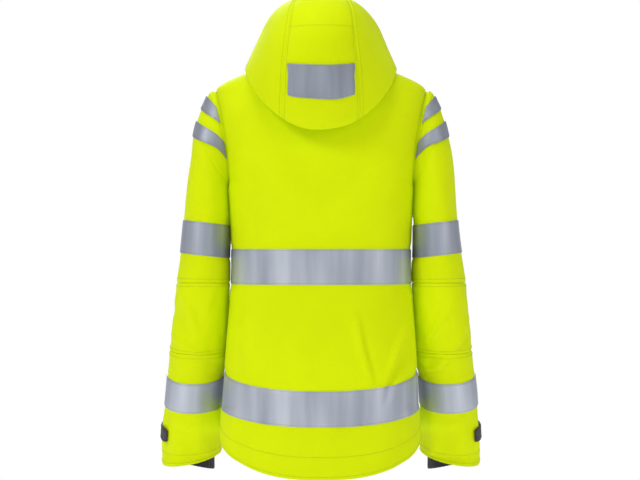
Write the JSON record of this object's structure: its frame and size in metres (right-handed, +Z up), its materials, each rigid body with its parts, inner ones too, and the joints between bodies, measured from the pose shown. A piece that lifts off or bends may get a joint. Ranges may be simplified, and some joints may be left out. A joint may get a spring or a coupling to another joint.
{
  "type": "hooded high-visibility shell jacket",
  "caption": "Hooded waterproof shell jacket in fluorescent yellow with silver reflective bands, hanging at rest with jointed sleeves, hood, zip sliders and cuff tabs.",
  "frame": {"origin": "middle of the top of the hanger loop, inside the centre back of the neck", "axes": "+Z up, -Y the way the wearer faces, +X the wearer's left"},
  "size_m": [0.6212, 0.3711, 0.9003],
  "materials": {
    "shell_yellow": "smooth fluorescent woven polyester laminate, matt",
    "reflective_tape": "glass-bead retroreflective silver tape, satin",
    "lining_mesh": "dark warp-knit mesh",
    "black_trim": "black hook-and-loop and knitted trim",
    "zip_black": "black coil on woven tape",
    "slider_metal": "dark grey enamel"
  },
  "bodies": {
    "torso": {"back_panel": "shell_yellow", "left_front_panel": "shell_yellow", "right_front_panel": "shell_yellow", "collar_left": "shell_yellow", "collar_right": "shell_yellow", "lining_back": "lining_mesh", "lining_left_front": "lining_mesh", "lining_right_front": "lining_mesh", "hanger_loop": "black_trim", "zip_tape_left": "zip_black", "zip_tape_right": "zip_black", "zip_box": "slider_metal", "waist_tape_back": "reflective_tape", "waist_tape_left_front": "reflective_tape", "waist_tape_right_front": "reflective_tape", "hem_tape_back": "reflective_tape", "hem_tape_left_front": "reflective_tape", "hem_tape_right_front": "reflective_tape", "hood_neck_panel": "shell_yellow", "left_pocket_zip": "zip_black", "right_pocket_zip": "zip_black", "left_sleeve_cap": "shell_yellow", "left_shoulder_stripe_1": "reflective_tape", "left_shoulder_stripe_2": "reflective_tape", "right_sleeve_cap": "shell_yellow", "right_shoulder_stripe_1": "reflective_tape", "right_shoulder_stripe_2": "reflective_tape"},
    "hood": {"hood_centre_panel": "shell_yellow", "hood_left_side": "shell_yellow", "hood_right_side": "shell_yellow", "hood_brim": "shell_yellow", "hood_reflective_patch": "reflective_tape"},
    "main_slider": {"main_slider": "slider_metal"},
    "main_puller": {"main_puller": "slider_metal"},
    "left_upper_arm": {"left_upper_sleeve": "shell_yellow", "left_upper_sleeve_tape": "reflective_tape", "left_elbow_panel": "shell_yellow"},
    "left_forearm": {"left_lower_sleeve": "shell_yellow", "left_forearm_tape": "reflective_tape", "left_inner_cuff": "black_trim"},
    "left_cuff_tab": {"left_cuff_tab": "black_trim"},
    "left_pocket_slider": {"left_pocket_slider": "slider_metal"},
    "left_pocket_puller": {"left_pocket_puller": "slider_metal"},
    "right_upper_arm": {"right_upper_sleeve": "shell_yellow", "right_upper_sleeve_tape": "reflective_tape", "right_elbow_panel": "shell_yellow"},
    "right_forearm": {"right_lower_sleeve": "shell_yellow", "right_forearm_tape": "reflective_tape", "right_inner_cuff": "black_trim"},
    "right_cuff_tab": {"right_cuff_tab": "black_trim"},
    "right_pocket_slider": {"right_pocket_slider": "slider_metal"},
    "right_pocket_puller": {"right_pocket_puller": "slider_metal"}
  },
  "joints": [
    {"name": "hood_tilt", "type": "hinge", "parent": "torso", "child": "hood", "pos_m": [0, -0.0675, -0.004], "axis": [1, 0, 0], "range_deg": [0, 52], "deforming": ["hood_neck_panel"]},
    {"name": "main_zip", "type": "slide", "parent": "torso", "child": "main_slider", "axis": [0, -0.0721, -0.9974], "range_m": [0, 0.6818]},
    {"name": "main_puller_swing", "type": "hinge", "parent": "main_slider", "child": "main_puller", "pos_m": [0, -0.14553, 0.00783], "axis": [-1, 0, 0], "range_deg": [0, 75]},
    {"name": "left_shoulder", "type": "hinge", "parent": "torso", "child": "left_upper_arm", "pos_m": [0.195, -0.0475, -0.185], "axis": [0, -1, 0], "range_deg": [0, 45], "deforming": ["left_sleeve_cap", "left_shoulder_stripe_1", "left_shoulder_stripe_2"]},
    {"name": "left_elbow", "type": "hinge", "parent": "left_upper_arm", "child": "left_forearm", "pos_m": [0.2325, -0.0675, -0.491], "axis": [-1, 0, 0], "range_deg": [0, 65], "deforming": ["left_elbow_panel"]},
    {"name": "left_cuff_tab_peel", "type": "hinge", "parent": "left_forearm", "child": "left_cuff_tab", "pos_m": [0.25988, -0.19043, -0.69872], "axis": [0.073, -0.2854, -0.9556], "range_deg": [0, 100]},
    {"name": "left_pocket_zip", "type": "slide", "parent": "torso", "child": "left_pocket_slider", "axis": [0.2225, 0.0164, -0.9748], "range_m": [0, 0.1095]},
    {"name": "left_pocket_puller_swing", "type": "hinge", "parent": "left_pocket_slider", "child": "left_pocket_puller", "pos_m": [0.09605, -0.17096, -0.44823], "axis": [-0.8922, -0.3997, -0.2103], "range_deg": [0, 75]},
    {"name": "right_shoulder", "type": "hinge", "parent": "torso", "child": "right_upper_arm", "pos_m": [-0.195, -0.0475, -0.185], "axis": [0, 1, 0], "range_deg": [0, 45], "deforming": ["right_sleeve_cap", "right_shoulder_stripe_1", "right_shoulder_stripe_2"]},
    {"name": "right_elbow", "type": "hinge", "parent": "right_upper_arm", "child": "right_forearm", "pos_m": [-0.2325, -0.0675, -0.491], "axis": [-1, 0, 0], "range_deg": [0, 65], "deforming": ["right_elbow_panel"]},
    {"name": "right_cuff_tab_peel", "type": "hinge", "parent": "right_forearm", "child": "right_cuff_tab", "pos_m": [-0.25988, -0.19043, -0.69872], "axis": [0.073, 0.2854, 0.9556], "range_deg": [0, 100]},
    {"name": "right_pocket_zip", "type": "slide", "parent": "torso", "child": "right_pocket_slider", "axis": [-0.2225, 0.0164, -0.9748], "range_m": [0, 0.1095]},
    {"name": "right_pocket_puller_swing", "type": "hinge", "parent": "right_pocket_slider", "child": "right_pocket_puller", "pos_m": [-0.09605, -0.17096, -0.44823], "axis": [-0.8922, 0.3997, 0.2103], "range_deg": [0, 75]}
  ]
}
